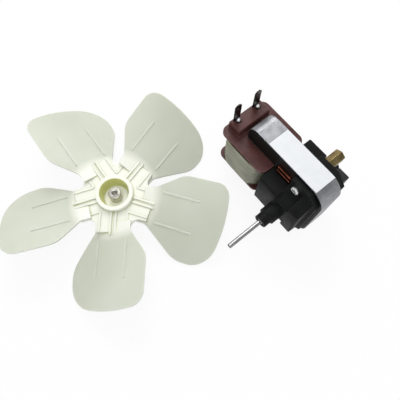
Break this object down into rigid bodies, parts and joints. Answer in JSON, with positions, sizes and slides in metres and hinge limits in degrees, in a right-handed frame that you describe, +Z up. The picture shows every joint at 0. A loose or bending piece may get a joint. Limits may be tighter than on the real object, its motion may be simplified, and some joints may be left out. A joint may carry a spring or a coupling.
{
  "type": "refrigerator fan motor",
  "caption": "Shaded-pole fan motor with a taped coil, spade tabs, hexagonal standoffs and a thin shaft, with its moulded fan lying beside it.",
  "frame": {"origin": "on the rotor's axis, where the free shaft leaves the front hub", "axes": "-Y along the free shaft, +X towards the rotor end of the core, +Z up"},
  "size_m": [0.1657, 0.1902, 0.065],
  "materials": {
    "core_steel": "varnished silicon steel laminations",
    "bobbin_plastic": "moulded maroon nylon",
    "copper_wire": "enamelled copper",
    "tape": "cream insulating tape",
    "tinned_tab": "tinned brass",
    "copper_ring": "bare copper bar",
    "cast_aluminium": "die cast",
    "shaft_steel": "ground steel",
    "spring_steel": "spring steel",
    "felt": "oiled wool felt",
    "sintered_bronze": "sintered bronze",
    "nylon": "natural nylon",
    "bracket_plastic": "black glass-filled plastic",
    "zinc_screw": "zinc plated",
    "brass_hex": "drawn brass",
    "label_paper": "bare white film label",
    "fan_plastic": "moulded ivory plastic, slightly translucent",
    "bush_steel": "turned steel"
  },
  "bodies": {
    "root": {"stator_core": "core_steel", "coil_core": "core_steel", "bobbin": "bobbin_plastic", "winding": "copper_wire", "coil_tape": "tape", "terminal_front": "tinned_tab", "terminal_back": "tinned_tab", "shading_ring_upper_inner": "copper_ring", "shading_ring_upper_outer": "copper_ring", "shading_ring_lower_inner": "copper_ring", "shading_ring_lower_outer": "copper_ring", "front_retainer": "spring_steel", "front_oil_felt": "felt", "front_bush": "sintered_bronze", "back_retainer": "spring_steel", "back_oil_felt": "felt", "back_bush": "sintered_bronze", "front_bracket": "bracket_plastic", "back_bracket": "bracket_plastic", "upper_screw": "zinc_screw", "upper_standoff": "brass_hex", "lower_screw": "zinc_screw", "lower_standoff": "brass_hex", "label": "label_paper", "fan": "fan_plastic", "fan_bush": "bush_steel"},
    "rotor": {"rotor_core": "core_steel", "rotor_cage": "cast_aluminium", "shaft": "shaft_steel", "front_spacer": "nylon", "front_thrust_washer": "nylon", "back_spacer": "nylon", "back_thrust_washer": "nylon"}
  },
  "joints": [
    {"name": "rotor_spin", "type": "hinge", "parent": "root", "child": "rotor", "pos_m": [0, 0, 0], "axis": [0, -1, 0], "continuous": true}
  ]
}
